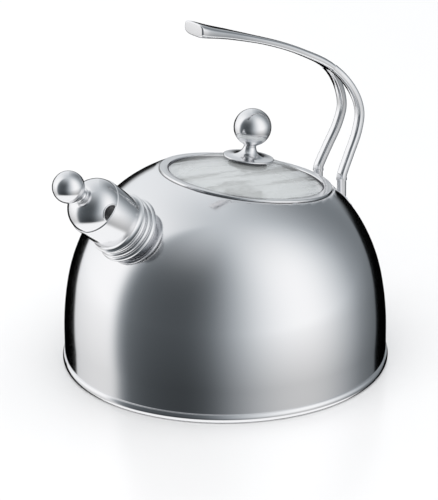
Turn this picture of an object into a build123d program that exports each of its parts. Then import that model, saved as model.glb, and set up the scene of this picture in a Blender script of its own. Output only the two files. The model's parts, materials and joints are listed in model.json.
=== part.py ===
from build123d import *
import os
from math import atan2, cos, degrees, hypot, radians, sin, sqrt

# Stovetop whistling kettle.  Millimetres, +Z up.  The origin is the centre of the flat
# underside, the spout points to -X, the handle stands at +X and XZ is the symmetry plane.

# ---- body: a straight wall, then three tangent arcs up to the crown ----
wall = 0.8                  # steel sheet of the shell, pan floor and spout
wall_radius = 108.6         # outside of the straight wall
wall_top = 22.0             # height where the wall starts to curve in
barrel_radius = 200.0       # first arc
barrel_turn = 10.3          # angle the outline has turned at its end, degrees
shoulder_radius = 115.0     # second arc
shoulder_turn = 28.6
crown_radius = 85.0         # third arc, up to the top

# ---- base ----
bead_proud = 1.4            # how far the rolled bead stands out from the wall
bead_bottom = 0.5
bead_top = 6.4
bead_width = 4.1            # from the bead's inner side to the wall's outside
cover_sheet = 0.6           # steel capsule round the heat disc
cover_gap = 1.7             # between the capsule and the bead
floor_bottom = 4.2          # underside of the kettle's floor

# ---- lid seat: the flat that the dome is cut to, tilted towards the handle ----
seat_back = -39.9           # x where the seat's plane meets the dome, spout side
seat_front = 76.9           # and handle side
seat_margin = 0.9           # seat left showing round the lid, at those two places
opening_inset = 3.4         # from the lid's edge in to the mouth
neck_depth = 9.0

# ---- lid: heights are above the seat, along the lid's own axis ----
rim_sheet = 0.8
rim_lift = 0.3              # the rim's turned-down edge stays this clear of the seat
rim_top = 1.8
rim_flange = 6.0            # width of the rim's top
plug_clearance = 0.6        # between the lid's plug wall and the mouth
plug_depth = 5.0
glass_sheet = 3.0
glass_curve = 104.0         # outside radius of the glass dome
glass_edge = -0.2           # height of the glass's outer face at its edge
glass_gap = 0.8             # rubber between the glass edge and the rim
gasket_width = 1.8

# ---- knob ----
knob_ball_radius = 12.6
knob_ball_rise = 20.75      # from the flange's underside to the ball's centre
knob_flange_radius = 17.0
knob_flange_lift = 0.7      # flange above the glass's apex
knob_flange_sheet = 1.0
knob_flare_radius = 10.4
knob_neck_radius = 4.15
knob_seat_radius = 4.6      # flat on the ball where it meets the neck
knob_neck_drop = 1.9        # small flare from the neck out to the ball's seat
knob_flare_bend = (2.5, 3.0)  # the trumpet's middle: out from the neck, up from the flange
knob_flange_edge = 0.4      # chamfer on the flange's edge
knob_screw_radius = 2.5
knob_screw_head = 4.8
knob_screw_head_height = 3.0
knob_thread = 9.0           # length of screw in the ball
knob_hole_radius = 4.0      # hole in the glass
pad_radius = 13.0           # rubber washers either side of the glass
pad_drop = 1.9              # glass underside to the lower pad's flat face
knob_washer_radius = 10.5
knob_washer_sheet = 1.0
hole_clearance = 0.1        # round each screw

# ---- spout: lengths are along its axis, from the dome's surface ----
spout_root_inset = 29.0     # from the wall's radius in to where the axis leaves the dome
spout_rise = 41.5           # degrees above horizontal
tube_radius = 17.0
collar_neck = 1.5           # plain foot of the collar, out from the tube
collar_neck_height = 1.6
collar_ridges = [(5.6, 4.0), (4.3, 3.6), (3.2, 3.3)]    # out from the tube, height of each
ridge_bulge = 0.9

# ---- whistle cap ----
cap_gap = 0.9               # between the collar and the cap
lip_width = 2.1             # how far the lip stands out from the skirt
lip_height = 1.0
lip_flare = 3.4             # length over which it flares
skirt_length = 25.9         # from the cap's lip to its crease
crease_chamfer = 0.7
crease_step = 0.6           # from the skirt's radius in to the dome's
cap_dome_height = 15.5
cap_dome_cut = 1.3          # taken off the dome's top, for the small flat under the stem
port_radius = 5.9
port_lift = 0.2             # flat edge of the port above the crease
cap_seal_clearance = 0.3    # silicone to spout, all round and at the mouth
seal_sheet = 1.1
seal_length = 13.0
seal_flange = 1.0
seal_bore = 12.0
disc_sheet = 0.4
chamber_height = 4.5
chamber_wall = 0.8
disc_hole_radius = 2.2
cap_ball_radius = 10.6
stem_height = 3.7
stem_foot_radius = 5.8
stem_neck_radius = 3.9
stem_top_radius = 4.8
cap_screw_radius = 2.0
cap_screw_head = 3.8
cap_screw_head_height = 2.4
cap_thread = 8.0

# ---- handle ----
foot_inset = 14.6           # from the wall's radius in to the foot's axis
foot_half_spacing = 12.0
post_height = 20.0          # boss, from the dome to the leg
post_radius = 3.1
post_collar_radius = 3.6
post_collar_height = 1.6
foot_pad_radius = 7.0
foot_pad_height = 4.0
leg_width = 6.6
leg_thickness = 5.4
fork_gap = 0.3              # between the legs where they part
bar_corner = 0.42           # corner radius as a share of the bar's thickness
tip_corner = 0.25           # the same at the grip's thick end
# bar's centre line from the legs' end: x and height above the top of the boss
leg_line = [(-2.0, 77.4), (11.8, 61.3), (18.6, 43.8), (15.6, 29.8), (7.4, 14.8), (1.7, 4.6), (0.0, 0.0)]
grip_line = [(-119.2, 128.9), (-89.6, 118.8), (-51.7, 104.5), (-25.8, 92.2), (-2.0, 77.4)]
tip_slope = (0.93, -0.36)
fork_slope = (0.76, -0.65)
# grip: share of the length from the tip, width, thickness
grip_bars = [
    (0.04, 19.6, 8.6), (0.14, 17.0, 6.9), (0.24, 13.8, 6.0), (0.34, 11.0, 5.3), (0.45, 9.2, 4.7),
    (0.56, 8.6, 4.7), (0.67, 8.6, 4.8), (0.79, 9.4, 5.0), (0.90, 11.5, 5.3),
]
tip_width = 19.0
tip_height = 9.3            # of the upright end face
# legs: share of the length from the fork, share of the spreading done
leg_spread = [(0.0, 0.0), (0.08, 0.12), (0.2, 0.34), (0.35, 0.54), (0.5, 0.67), (0.75, 0.85), (1.0, 1.0)]
foot_screw_radius = 2.0
foot_screw_head = 4.0
foot_screw_head_height = 2.3
foot_thread = 3.5
foot_washer_radius = 6.5
foot_washer_sheet = 1.0
foot_seal_sheet = 1.5

# ---- screw heads ----
slot_width = 1.1
slot_depth = 1.0

# ---- worked out from the values above ----
cap_radius = tube_radius + cap_seal_clearance + seal_sheet + wall
cap_bore = cap_radius - wall
collar_top = collar_neck_height + sum(height for out, height in collar_ridges)
cap_lip = collar_top + cap_gap
crease = cap_lip + skirt_length
disc_top = crease - crease_chamfer
seal_top = disc_top - 2 * disc_sheet - chamber_height
tube_end = seal_top - seal_flange - cap_seal_clearance
cap_flat = crease + cap_dome_height - cap_dome_cut
stem_top = cap_flat + stem_height
cap_ball_centre = stem_top + sqrt(cap_ball_radius**2 - stem_top_radius**2)
bead_inner = wall_radius - bead_width
cover_radius = bead_inner - cover_gap
LONG = 400.0                # longer than anything it cuts


def dome_arcs():
    """Centre r, centre z, radius, first and last angle of each arc of the dome's outside."""
    r, z = wall_radius - barrel_radius, wall_top
    first = (r, z, barrel_radius, 0.0, barrel_turn)
    r += (barrel_radius - shoulder_radius) * cos(radians(barrel_turn))
    z += (barrel_radius - shoulder_radius) * sin(radians(barrel_turn))
    second = (r, z, shoulder_radius, barrel_turn, shoulder_turn)
    r += (shoulder_radius - crown_radius) * cos(radians(shoulder_turn))
    z += (shoulder_radius - crown_radius) * sin(radians(shoulder_turn))
    return [first, second, (r, z, crown_radius, shoulder_turn, 90.0)]


def dome_point(distance):
    """Height and slope angle (of the normal, above horizontal) of the dome at a radius."""
    for r, z, radius, start, end in reversed(dome_arcs()):
        if distance <= r:
            return z + radius, 90.0
        if distance <= r + radius * cos(radians(start)):
            height = sqrt(radius**2 - (distance - r) ** 2)
            return z + height, degrees(atan2(height, distance - r))
    return wall_top, 0.0


def turned(*outline):
    """Solid of revolution about Z from lines drawn as (radius, height)."""
    edges = [edge for line in outline for edge in line.edges()]
    return revolve(Plane.XZ * make_face(edges), Axis.Z)


def turned_points(*points):
    return turned(Polyline(*points, close=True))


def ring(outer, inner, low, high):
    middle = Pos(0, 0, (low + high) / 2)
    return middle * (Cylinder(outer, high - low) - Cylinder(inner, high - low))


def rod(radius, low, high):
    return Pos(0, 0, (low + high) / 2) * Cylinder(radius, high - low)


def dome_solid(inset):
    """Everything inside the dome's outside face drawn in by inset, from the bead up."""
    side = wall_radius - inset
    outline = [Polyline((0, bead_top), (side, bead_top), (side, wall_top))]
    for r, z, radius, start, end in dome_arcs():
        outline.append(CenterArc((r, z), radius - inset, start, end - start))
    top = z + radius - inset
    outline.append(Polyline((r, top), (0, top), (0, bead_top)))
    return turned(*outline)


DOME = dome_solid(0)
HOLLOW = dome_solid(wall)


def seat_frame():
    """Plane of the lid's seat, its +Z the way the lid lifts, and the seat's radius."""
    back, front = dome_point(-seat_back)[0], dome_point(seat_front)[0]
    run, drop = seat_front - seat_back, back - front
    slope = hypot(run, drop)
    centre = ((seat_back + seat_front) / 2, 0, (back + front) / 2)
    along = (run / slope, 0, -drop / slope)
    return Plane(centre, x_dir=along, z_dir=(drop / slope, 0, run / slope)), slope / 2


SEAT, seat_radius = seat_frame()
rim_radius = seat_radius - seat_margin
mouth_radius = rim_radius - opening_inset
plug_radius = mouth_radius - plug_clearance
glass_radius = plug_radius - rim_sheet - glass_gap
glass_apex = glass_edge + glass_curve - sqrt(glass_curve**2 - glass_radius**2)
knob_flange_bottom = glass_apex + knob_flange_lift
knob_ball_height = knob_flange_bottom + knob_ball_rise
ball_seat = knob_ball_height - sqrt(knob_ball_radius**2 - knob_seat_radius**2)
pad_bottom = glass_apex - glass_sheet - pad_drop


def spout_frame():
    """Plane square to the spout's axis where the axis leaves the dome."""
    out = wall_radius - spout_root_inset
    height = dome_point(out)[0]
    rise = radians(spout_rise)
    return Plane((-out, 0, height), x_dir=(sin(rise), 0, cos(rise)), z_dir=(-cos(rise), 0, sin(rise)))


SPOUT = spout_frame()


def foot_frame():
    """Plane on the dome under the foot at +Y, its +Z the dome's outward normal."""
    x, y = wall_radius - foot_inset, foot_half_spacing
    out = hypot(x, y)
    height, lean = dome_point(out)
    flat = cos(radians(lean)) / out
    return Plane((x, y, height), z_dir=(x * flat, y * flat, sin(radians(lean))))


FOOT = foot_frame()


def screw_slot(head, low):
    """Cutter for a screwdriver slot across the head's end at a level."""
    return Pos(0, 0, low) * Box(2 * head, slot_width, 2 * slot_depth)


def both_sides(piece):
    """The piece and its mirror image across XZ, as two separate solids."""
    return Compound(children=[*piece.solids(), *mirror(piece, about=Plane.XZ).solids()])


# ---------------------------------------------------------------- body

def body_shell():
    above = SEAT * Pos(0, 0, LONG / 2) * Box(LONG, LONG, LONG)
    flat = (SEAT * rod(seat_radius + crown_radius, -wall, 0)) & DOME
    neck = SEAT * ring(mouth_radius + wall, mouth_radius, -neck_depth, 0)
    shell = (DOME - HOLLOW - above) + flat
    shell -= SEAT * rod(mouth_radius, -neck_depth, wall)
    shell += neck
    shell -= SPOUT * rod(tube_radius - wall, -crown_radius, tube_end)
    hole = FOOT * rod(foot_screw_radius + hole_clearance, -foot_pad_radius, foot_pad_radius)
    return shell - hole - mirror(hole, about=Plane.XZ)


def base_pan():
    """Kettle floor with the rolled bead that the wall stands on."""
    middle = (bead_bottom + bead_top) / 2
    floor = Polyline(
        (wall_radius, bead_top), (bead_inner, bead_top), (bead_inner, floor_bottom + wall),
        (0, floor_bottom + wall), (0, floor_bottom), (bead_inner, floor_bottom),
        (bead_inner, bead_bottom), (wall_radius, bead_bottom),
    )
    bulge = ThreePointArc(
        (wall_radius, bead_bottom), (wall_radius + bead_proud, middle), (wall_radius, bead_top)
    )
    return turned(floor, bulge)


def heat_disc():
    return rod(cover_radius - cover_sheet, cover_sheet, floor_bottom)


def base_cover():
    """Steel capsule under the heat disc, turned up to the pan; its underside is z = 0."""
    cup = rod(cover_radius, 0, floor_bottom)
    cup = fillet(cup.edges().group_by(Axis.Z)[0], cover_sheet)
    return cup - heat_disc()


# ---------------------------------------------------------------- spout

def spout_tube():
    return SPOUT * ring(tube_radius, tube_radius - wall, -tube_radius * 2, tube_end) - DOME


def spout_collar():
    """Stepped ring round the foot of the spout, each step a rounded ridge."""
    below = -tube_radius * 2
    low = collar_neck_height
    corner = (tube_radius + collar_neck, low)
    outline = [Polyline((tube_radius, below), (corner[0], below), corner)]
    for out, height in collar_ridges:
        edge = tube_radius + out - ridge_bulge
        crest = (edge + ridge_bulge, low + height / 2)
        outline.append(Line(corner, (edge, low)))
        outline.append(ThreePointArc((edge, low), crest, (edge, low + height)))
        low += height
        corner = (edge, low)
    outline.append(Polyline(corner, (tube_radius, low), (tube_radius, below)))
    return SPOUT * turned(*outline) - DOME


# ---------------------------------------------------------------- whistle cap

def cap_solid(inset):
    """The whistle cap's outside, or its hollow when drawn in by the wall."""
    lip, side, top = cap_radius + lip_width - inset, cap_radius - inset, cap_radius - crease_step - inset
    foot = Polyline(
        (0, cap_lip), (lip, cap_lip), (lip, cap_lip + lip_height),
        (side, cap_lip + lip_height + lip_flare), (side, crease - crease_chamfer), (top, crease),
    )
    dome = EllipticalCenterArc((0, crease), top, cap_dome_height - inset, start_angle=0, arc_size=90)
    stem = Line((0, crease + cap_dome_height - inset), (0, cap_lip))
    return turned(foot, dome, stem) & rod(cap_radius + lip_width, cap_lip, cap_flat - inset)


def whistle_cap():
    cap = cap_solid(0) - cap_solid(wall)
    cap -= rod(cap_screw_radius + hole_clearance, crease, cap_flat + wall)
    port = Rot(90, 0, 0) * Cylinder(port_radius, 2 * cap_radius)
    port &= Pos(0, 0, port_radius) * Box(2 * port_radius, 2 * cap_radius, 2 * port_radius)
    return SPOUT * (cap - Pos(0, 0, crease + port_lift) * port)


def whistle_seal():
    """Silicone sleeve that grips the spout and closes on its mouth."""
    sleeve = ring(cap_bore, tube_radius + cap_seal_clearance, seal_top - seal_length, seal_top)
    return SPOUT * (sleeve + ring(cap_bore, seal_bore, seal_top - seal_flange, seal_top))


def whistle_disc(low):
    return SPOUT * ring(cap_bore, disc_hole_radius, low, low + disc_sheet)


def whistle_chamber():
    low = seal_top + disc_sheet
    return SPOUT * ring(cap_bore, cap_bore - chamber_wall, low, low + chamber_height)


def whistle_stem():
    """Turned spacer between the cap and its ball, waisted."""
    bore = cap_screw_radius + hole_clearance
    foot, head = (stem_foot_radius, cap_flat), (stem_top_radius, stem_top)
    sides = Polyline(head, (bore, stem_top), (bore, cap_flat), foot)
    waist = ThreePointArc(foot, (stem_neck_radius, (cap_flat + stem_top) / 2), head)
    return SPOUT * turned(sides, waist)


def whistle_ball():
    ball = Pos(0, 0, cap_ball_centre) * Sphere(cap_ball_radius)
    ball &= rod(cap_ball_radius, stem_top, cap_ball_centre + cap_ball_radius)
    return SPOUT * (ball - rod(cap_screw_radius, stem_top, stem_top + cap_thread))


def whistle_screw():
    under = cap_flat - wall
    head = rod(cap_screw_head, under - cap_screw_head_height, under)
    slot = screw_slot(cap_screw_head, under - cap_screw_head_height)
    return SPOUT * (head - slot + rod(cap_screw_radius, under, stem_top + cap_thread))


# ---------------------------------------------------------------- lid

def glass_solid(radius):
    return Pos(0, 0, glass_apex - glass_curve) * Sphere(radius)


def lid_glass():
    dome = (glass_solid(glass_curve) - glass_solid(glass_curve - glass_sheet))
    dome &= rod(glass_radius, -plug_depth - glass_sheet, glass_apex)
    return SEAT * (dome - rod(knob_hole_radius, 0, glass_apex))


def lid_rim():
    """Steel rim: flange on top, its edge turned down, and the plug wall that holds the glass."""
    flange_inner = rim_radius - rim_flange
    under = rim_top - rim_sheet
    lip = glass_radius + glass_gap - gasket_width
    return SEAT * turned_points(
        (rim_radius, rim_lift), (rim_radius, rim_top), (flange_inner, rim_top), (flange_inner, under),
        (plug_radius - rim_sheet, under), (plug_radius - rim_sheet, rim_sheet - plug_depth),
        (lip, rim_sheet - plug_depth), (lip, -plug_depth), (plug_radius, -plug_depth),
        (plug_radius, under), (rim_radius - rim_sheet, under), (rim_radius - rim_sheet, rim_lift),
    )


def lid_gasket():
    """Rubber channel round the glass edge, inside the rim."""
    outer = plug_radius - rim_sheet
    channel = ring(outer, outer - gasket_width, rim_sheet - plug_depth, rim_top - rim_sheet)
    return SEAT * channel - lid_glass()


def knob_washer_top():
    """Rubber under the knob's flange, its lower face shaped to the glass."""
    pad = ring(pad_radius, knob_screw_radius + hole_clearance, glass_apex - glass_sheet, knob_flange_bottom)
    pad -= rod(knob_hole_radius, 0, glass_apex)
    return SEAT * (pad - glass_solid(glass_curve))


def knob_washer_bottom():
    """Rubber under the glass, with a sleeve up through the hole."""
    bore = knob_screw_radius + hole_clearance
    pad = ring(pad_radius, bore, pad_bottom, glass_apex) & glass_solid(glass_curve - glass_sheet)
    return SEAT * (pad + ring(knob_hole_radius, bore, pad_bottom, glass_apex))


def knob_steel_washer():
    top = pad_bottom
    bore = knob_screw_radius + hole_clearance
    return SEAT * ring(knob_washer_radius, bore, top - knob_washer_sheet, top)


def knob_screw():
    under = pad_bottom - knob_washer_sheet
    head = rod(knob_screw_head, under - knob_screw_head_height, under)
    slot = screw_slot(knob_screw_head, under - knob_screw_head_height)
    return SEAT * (head - slot + rod(knob_screw_radius, under, ball_seat + knob_thread))


def knob_base():
    """Trumpet foot of the knob on its thin flange."""
    bore = knob_screw_radius + hole_clearance
    top = knob_flange_bottom + knob_flange_sheet
    waist = ball_seat - knob_neck_drop
    foot = Polyline(
        (knob_neck_radius, waist), (knob_seat_radius, ball_seat), (bore, ball_seat),
        (bore, knob_flange_bottom), (knob_flange_radius, knob_flange_bottom),
        (knob_flange_radius, top - knob_flange_edge), (knob_flange_radius - 2 * knob_flange_edge, top),
        (knob_flare_radius, top),
    )
    bend = (knob_neck_radius + knob_flare_bend[0], top + knob_flare_bend[1])
    flare = ThreePointArc((knob_flare_radius, top), bend, (knob_neck_radius, waist))
    return SEAT * turned(foot, flare)


def knob_ball():
    ball = Pos(0, 0, knob_ball_height) * Sphere(knob_ball_radius)
    ball &= rod(knob_ball_radius, ball_seat, knob_ball_height + knob_ball_radius)
    return SEAT * (ball - rod(knob_screw_radius, ball_seat, ball_seat + knob_thread))


# ---------------------------------------------------------------- handle

def bar(line, share, y, width, thickness):
    """Rounded-rectangle section of the handle's bar, square to its centre line."""
    at, along = line @ share, line % share
    section = RectangleRounded(width, thickness, bar_corner * thickness)
    return Plane((at.X, y, at.Z), x_dir=(0, 1, 0), z_dir=along) * section


def tip(line):
    """Upright end face of the grip."""
    section = RectangleRounded(tip_width, tip_height, tip_corner * tip_height)
    return Plane(line @ 0, x_dir=(0, 1, 0), z_dir=(1, 0, 0)) * section


def centre_line(points, start_slope, end_slope):
    """The bar's centre line through points given from the top of the boss."""
    x, z = wall_radius - foot_inset, FOOT.origin.Z + post_height
    path = [(x + dx, 0, z + dz) for dx, dz in points]
    slopes = [(slope[0], 0, slope[1]) for slope in (start_slope, end_slope)]
    return Spline(*path, tangents=slopes)


def handle():
    """One polished piece: a paddle-ended grip that forks into two legs."""
    grip = centre_line(grip_line, tip_slope, fork_slope)
    fork_half = (leg_width + fork_gap) / 2
    bars = [tip(grip)] + [bar(grip, share, 0, width, thick) for share, width, thick in grip_bars]
    bars.append(bar(grip, 1.0, 0, 2 * leg_width + fork_gap, leg_thickness))
    piece = loft(bars)
    leg = centre_line(leg_line, fork_slope, (0, -1))
    sections = []
    for share, spread in leg_spread:
        y = fork_half + (foot_half_spacing - fork_half) * spread
        sections.append(bar(leg, share, y, leg_width, leg_thickness))
    side = loft(sections)
    return piece + side + mirror(side, about=Plane.XZ)


def handle_boss():
    """Post at +Y that the leg stands on, with a pad welded to the dome."""
    x, y, top = wall_radius - foot_inset, foot_half_spacing, FOOT.origin.Z + post_height
    post = Pos(x, y, 0) * rod(post_radius, FOOT.origin.Z - foot_pad_radius, top)
    collar = Pos(x, y, 0) * rod(post_collar_radius, top - post_collar_height, top)
    pad = FOOT * rod(foot_pad_radius, -foot_pad_height, foot_pad_height)
    boss = (post + collar + pad) - DOME
    return boss - FOOT * rod(foot_screw_radius, -wall, foot_thread)


def foot_screw():
    under = -wall - foot_seal_sheet - foot_washer_sheet
    head = rod(foot_screw_head, under - foot_screw_head_height, under)
    slot = screw_slot(foot_screw_head, under - foot_screw_head_height)
    return FOOT * (head - slot + rod(foot_screw_radius, under, foot_thread))


def foot_washer():
    top = -wall - foot_seal_sheet
    bore = foot_screw_radius + hole_clearance
    return FOOT * ring(foot_washer_radius, bore, top - foot_washer_sheet, top)


def foot_seal():
    bore = foot_screw_radius + hole_clearance
    return FOOT * ring(foot_washer_radius, bore, -wall - foot_seal_sheet, 0) & HOLLOW


# ---------------------------------------------------------------- export

PARTS = {
    "body_shell": body_shell(),
    "base_pan": base_pan(),
    "heat_disc": heat_disc(),
    "base_cover": base_cover(),
    "spout_tube": spout_tube(),
    "spout_collar": spout_collar(),
    "handle": handle(),
    "handle_boss_left": mirror(handle_boss(), about=Plane.XZ),
    "handle_boss_right": handle_boss(),
    "handle_screws": both_sides(foot_screw()),
    "handle_washers": both_sides(foot_washer()),
    "handle_seals": both_sides(foot_seal()),
    "lid_glass": lid_glass(),
    "lid_rim": lid_rim(),
    "lid_gasket": lid_gasket(),
    "knob_ball": knob_ball(),
    "knob_base": knob_base(),
    "knob_washer_top": knob_washer_top(),
    "knob_washer_bottom": knob_washer_bottom(),
    "knob_steel_washer": knob_steel_washer(),
    "knob_screw": knob_screw(),
    "whistle_cap": whistle_cap(),
    "whistle_seal": whistle_seal(),
    "whistle_disc_inner": whistle_disc(seal_top),
    "whistle_chamber": whistle_chamber(),
    "whistle_disc_outer": whistle_disc(disc_top - disc_sheet),
    "whistle_stem": whistle_stem(),
    "whistle_ball": whistle_ball(),
    "whistle_screw": whistle_screw(),
}

os.makedirs("parts", exist_ok=True)
for name, shape in PARTS.items():
    export_step(shape, f"parts/{name}.step")
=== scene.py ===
"""Stovetop whistling kettle: its visible pieces and finishes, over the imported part."""

import json
import math

import bmesh
import bpy
from bpy.props import FloatProperty, FloatVectorProperty, PointerProperty
from mathutils import Matrix, Vector
from mathutils.geometry import interpolate_bezier


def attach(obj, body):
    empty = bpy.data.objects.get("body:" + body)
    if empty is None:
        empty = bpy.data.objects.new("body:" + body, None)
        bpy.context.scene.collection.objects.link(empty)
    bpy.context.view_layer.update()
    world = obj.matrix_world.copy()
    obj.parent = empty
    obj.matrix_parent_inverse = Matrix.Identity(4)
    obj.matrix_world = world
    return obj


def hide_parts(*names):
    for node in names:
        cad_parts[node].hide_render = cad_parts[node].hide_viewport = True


bl_info = {
    "name": "Whistling kettle",
    "version": (1, 0, 0),
    "blender": (4, 5, 0),
    "location": "View3D > Sidebar > Kettle",
    "description": "Models a stovetop kettle's visible pieces and gives every piece its finish",
    "category": "Add Mesh",
}

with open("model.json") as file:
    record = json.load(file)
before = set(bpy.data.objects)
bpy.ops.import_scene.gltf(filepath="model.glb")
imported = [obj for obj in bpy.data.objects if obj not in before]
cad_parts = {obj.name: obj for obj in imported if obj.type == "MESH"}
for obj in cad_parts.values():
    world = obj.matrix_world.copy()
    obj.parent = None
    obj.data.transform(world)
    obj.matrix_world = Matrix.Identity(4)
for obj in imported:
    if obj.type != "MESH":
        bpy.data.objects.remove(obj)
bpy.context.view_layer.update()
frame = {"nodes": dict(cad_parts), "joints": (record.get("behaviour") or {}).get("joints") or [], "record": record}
FULL_TURN = 2 * math.pi
HALF_TURN = math.pi


# ------------------------------------------------------------------ sizes and colours

def length(name, description, default):
    return FloatProperty(name=name, description=description, default=default, unit="LENGTH", precision=5)


def angle(name, description, degrees):
    return FloatProperty(name=name, description=description, default=math.radians(degrees), subtype="ANGLE")


def colour(name, description, default):
    return FloatVectorProperty(name=name, description=description, default=default, subtype="COLOR", size=3)


def share(name, description, default):
    return FloatProperty(name=name, description=description, default=default, subtype="FACTOR", min=0, max=1)


class BodySizes(bpy.types.PropertyGroup):
    """The shell and its base."""

    sheet: length("Sheet", "Thickness of the steel sheet", 0.0008)
    wall_radius: length("Wall radius", "Outside of the straight wall", 0.1086)
    wall_top: length("Wall top", "Height where the wall starts to curve in", 0.022)
    barrel_radius: length("Barrel radius", "First arc of the outline", 0.200)
    barrel_turn: angle("Barrel turn", "Angle turned at the end of the first arc", 10.3)
    shoulder_radius: length("Shoulder radius", "Second arc of the outline", 0.115)
    shoulder_turn: angle("Shoulder turn", "Angle turned at the end of the second arc", 28.6)
    crown_radius: length("Crown radius", "Third arc, up to the top", 0.085)
    bead_bottom: length("Bead bottom", "Underside of the rolled bead", 0.0005)
    bead_top: length("Bead top", "Top of the rolled bead, where the wall stands", 0.0064)
    bead_proud: length("Bead proud", "How far the bead stands out from the wall", 0.0014)
    bead_width: length("Bead width", "From the bead's inner side to the wall's outside", 0.0041)
    floor_bottom: length("Floor bottom", "Underside of the kettle's floor", 0.0042)
    seat_back: length("Seat back", "Where the lid's seat meets the dome, spout side", -0.0399)
    seat_front: length("Seat front", "Where the lid's seat meets the dome, handle side", 0.0769)
    neck_depth: length("Neck depth", "Depth of the turned-down neck", 0.009)
    edge: length("Soft edge", "Rounding where the seat turns down into the neck", 0.0006)
    groove_width: length("Groove width", "Width of the groove under the lid's edge", 0.0013)
    groove_depth: length("Groove depth", "Depth of the groove under the lid's edge", 0.0011)
    groove_margin: length("Groove margin", "How far the groove reaches past the lid's edge", 0.0003)
    seam: length("Seam", "Depth of the fine groove where the bead closes on the wall", 0.0004)
    bead_corner: length("Bead corner", "Height of the bead's upper and lower corners", 0.0007)


class LidSizes(bpy.types.PropertyGroup):
    """The lid and its knob; heights are above the seat."""

    seat_margin: length("Seat margin", "Seat left showing round the lid", 0.0009)
    mouth_inset: length("Mouth inset", "From the lid's edge in to the mouth", 0.0034)
    rim_sheet: length("Rim sheet", "Thickness of the rim", 0.0008)
    rim_lift: length("Rim lift", "Rim's edge above the seat", 0.0003)
    rim_top: length("Rim top", "Top of the rim's flange", 0.0018)
    rim_flange: length("Rim flange", "Width of the rim's flange", 0.006)
    plug_clearance: length("Plug clearance", "Between the plug wall and the mouth", 0.0006)
    plug_depth: length("Plug depth", "Depth of the plug wall", 0.005)
    gasket_width: length("Gasket width", "Width of the rubber channel", 0.0018)
    glass_sheet: length("Glass sheet", "Thickness of the glass", 0.003)
    glass_curve: length("Glass curve", "Outside radius of the glass dome", 0.104)
    glass_edge: length("Glass edge", "Height of the glass's outer face at its edge", -0.0002)
    glass_gap: length("Glass gap", "Rubber between the glass edge and the rim", 0.0008)
    hole_radius: length("Glass hole", "Radius of the hole for the knob's screw", 0.004)
    ball_radius: length("Knob ball", "Radius of the knob's ball", 0.0126)
    ball_rise: length("Ball rise", "From the flange's underside to the ball's centre", 0.02075)
    ball_seat: length("Ball seat", "Radius of the flat on the ball where it meets the neck", 0.0046)
    flange_radius: length("Flange radius", "Radius of the knob's flange", 0.017)
    flange_lift: length("Flange lift", "Flange above the glass's apex", 0.0007)
    flange_sheet: length("Flange sheet", "Thickness of the knob's flange", 0.001)
    flare_radius: length("Flare radius", "Foot of the trumpet on its flange", 0.0104)
    neck_radius: length("Neck radius", "Narrowest part of the trumpet", 0.00415)
    neck_drop: length("Neck drop", "Length of the small flare under the ball", 0.0019)
    screw_radius: length("Screw radius", "Radius of the bore for the screw", 0.0026)
    edge_height: length("Edge height", "Height of the rounding on the rim's outer edge", 0.0007)
    edge_width: length("Edge width", "Width of the rounding on the rim's outer edge", 0.0009)
    edge_bulge: length("Edge bulge", "How far the rim's and the flange's edges swell", 0.0003)
    trumpet_bulge: length("Trumpet bulge", "How far the knob's trumpet curves in", 0.0012)
    rim_softness: length("Rim softness", "Worn edges of the rim", 0.00015)
    glass_softness: length("Glass softness", "Ground edges of the glass", 0.0004)


class SpoutSizes(bpy.types.PropertyGroup):
    """The spout's collar and whistle cap; lengths are along the spout's axis."""

    root_inset: length("Root inset", "From the wall's radius in to where the axis leaves the dome", 0.029)
    tube_radius: length("Tube radius", "Outside of the spout tube", 0.017)
    collar_neck: length("Collar foot", "Plain foot of the collar, out from the tube", 0.0015)
    collar_foot_height: length("Collar foot height", "Height of the plain foot", 0.0016)
    ridge_bulge: length("Ridge bulge", "How far each ridge swells", 0.0009)
    ridge_groove: length("Ridge groove", "Depth of the fine groove between ridges", 0.0008)
    cap_gap: length("Cap gap", "Between the collar and the cap", 0.0009)
    cap_radius: length("Cap radius", "Outside of the cap's skirt", 0.0192)
    lip_width: length("Lip width", "How far the lip stands out from the skirt", 0.0021)
    lip_height: length("Lip height", "Straight part of the lip", 0.001)
    lip_flare: length("Lip flare", "Length over which the lip flares", 0.0034)
    skirt_length: length("Skirt length", "From the lip to the crease", 0.0259)
    crease_chamfer: length("Crease chamfer", "Length of the step at the crease", 0.0007)
    crease_step: length("Crease step", "From the skirt's radius in to the dome's", 0.0006)
    dome_height: length("Dome height", "Height of the cap's dome", 0.0155)
    dome_cut: length("Dome cut", "Taken off the dome's top under the stem", 0.0013)
    port_radius: length("Port radius", "Radius of the half-round steam ports", 0.0059)
    port_lift: length("Port lift", "Flat edge of the port above the crease", 0.0002)
    port_edge: length("Port edge", "Radius of the rolled edge round each port", 0.0005)
    ball_radius: length("Cap ball", "Radius of the cap's ball", 0.0106)
    stem_height: length("Stem height", "Length of the stem under the ball", 0.0037)
    stem_foot: length("Stem foot", "Radius of the stem's foot", 0.0058)
    stem_neck: length("Stem neck", "Narrowest part of the stem", 0.0039)
    stem_head: length("Stem head", "Radius of the stem under the ball", 0.0048)
    screw_bore: length("Screw bore", "Radius of the hole for the cap's screw", 0.0021)
    root_depth: length("Root depth", "How far the collar reaches into the dome", 0.012)
    flare_bulge: length("Flare bulge", "How far the flare above the lip curves in", 0.0007)
    ring_height: length("Ring height", "Height of the rings at the stem's ends", 0.0008)
    ring_inset: length("Ring inset", "Rounding of the stem's rings", 0.0003)


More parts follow.
